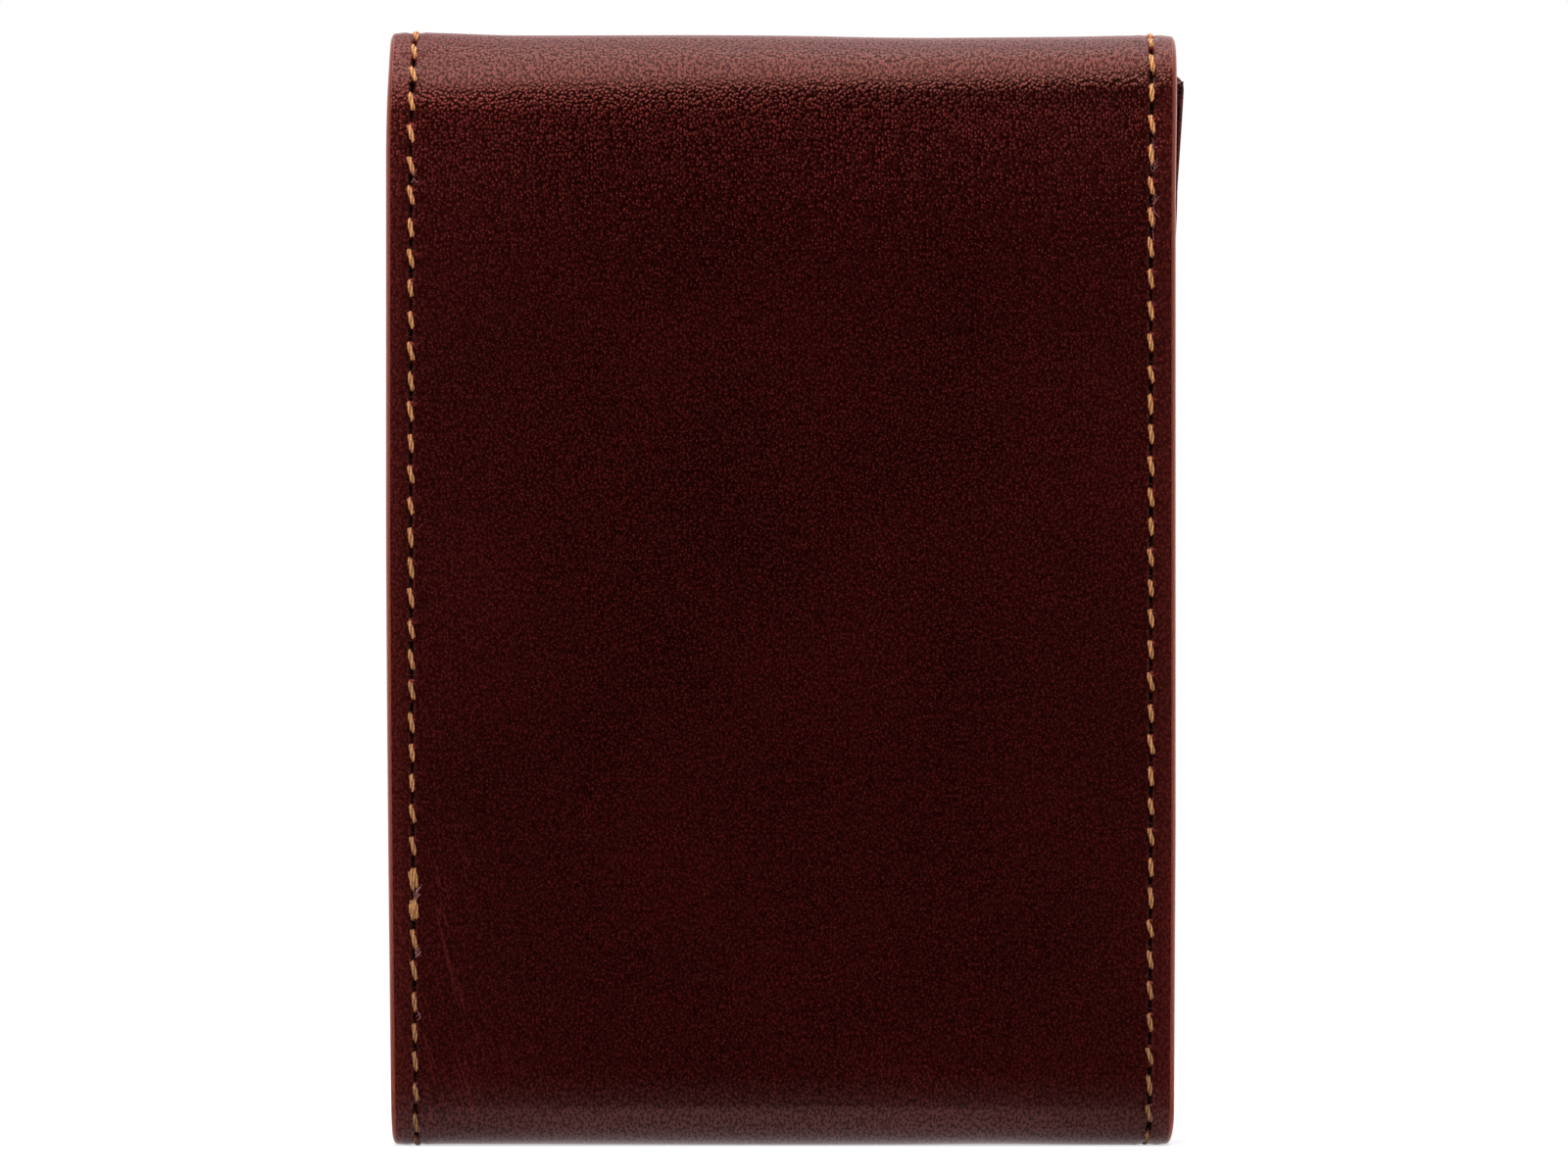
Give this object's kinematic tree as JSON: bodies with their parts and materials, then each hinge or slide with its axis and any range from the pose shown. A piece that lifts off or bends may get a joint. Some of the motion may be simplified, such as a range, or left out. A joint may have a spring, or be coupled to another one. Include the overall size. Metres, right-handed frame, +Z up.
{
  "type": "business card case",
  "caption": "Upright flap-over case for business cards in dark leather, with side gussets, slip pockets and contrast stitching along its long edges.",
  "frame": {"origin": "centre of the case's footprint, on the plane that it stands on", "axes": "+Z up along the case's height, +X across its width, +Y from the back towards the closed flap"},
  "size_m": [0.075, 0.015, 0.106],
  "materials": {
    "outer_leather": "dark oxblood-brown grained leather with a waxy sheen and burnished edges",
    "lining_leather": "thin brown lining leather, smooth and matt",
    "board": "thin stiffening board, hidden between leather and lining",
    "thread": "twisted waxed tan thread"
  },
  "bodies": {
    "case": {"back_leather": "outer_leather", "back_stiffener": "board", "back_lining": "lining_leather", "rear_slip_pocket": "lining_leather", "left_gusset": "outer_leather", "right_gusset": "outer_leather", "rear_left_seam": "thread", "rear_right_seam": "thread"},
    "pocket_front": {"pocket_leather": "outer_leather", "pocket_lining": "lining_leather", "front_left_seam": "thread", "front_right_seam": "thread", "mouth_seam": "thread"},
    "spine": {"spine_leather": "outer_leather", "spine_lining": "lining_leather", "spine_left_seam": "thread", "spine_right_seam": "thread"},
    "flap": {"flap_leather": "outer_leather", "flap_stiffener": "board", "flap_lining": "lining_leather", "flap_slip_pocket": "lining_leather", "flap_seam": "thread"}
  },
  "joints": [
    {"name": "spine_fold", "type": "hinge", "parent": "case", "child": "spine", "pos_m": [0, -0.00574, 0.10424], "axis": [1, 0, 0], "range_deg": [0, 90]},
    {"name": "flap_fold", "type": "hinge", "parent": "spine", "child": "flap", "pos_m": [0, 0.00574, 0.10424], "axis": [1, 0, 0], "range_deg": [0, 90]},
    {"name": "pocket_press", "type": "hinge", "parent": "case", "child": "pocket_front", "pos_m": [0, 0.00288, 0.00117], "axis": [1, 0, 0], "range_deg": [0, 2.3], "deforming": ["left_gusset", "right_gusset"]}
  ],
  "couplings": [
    {"joint": "flap_fold", "follows": "spine_fold", "ratio": 1}
  ]
}
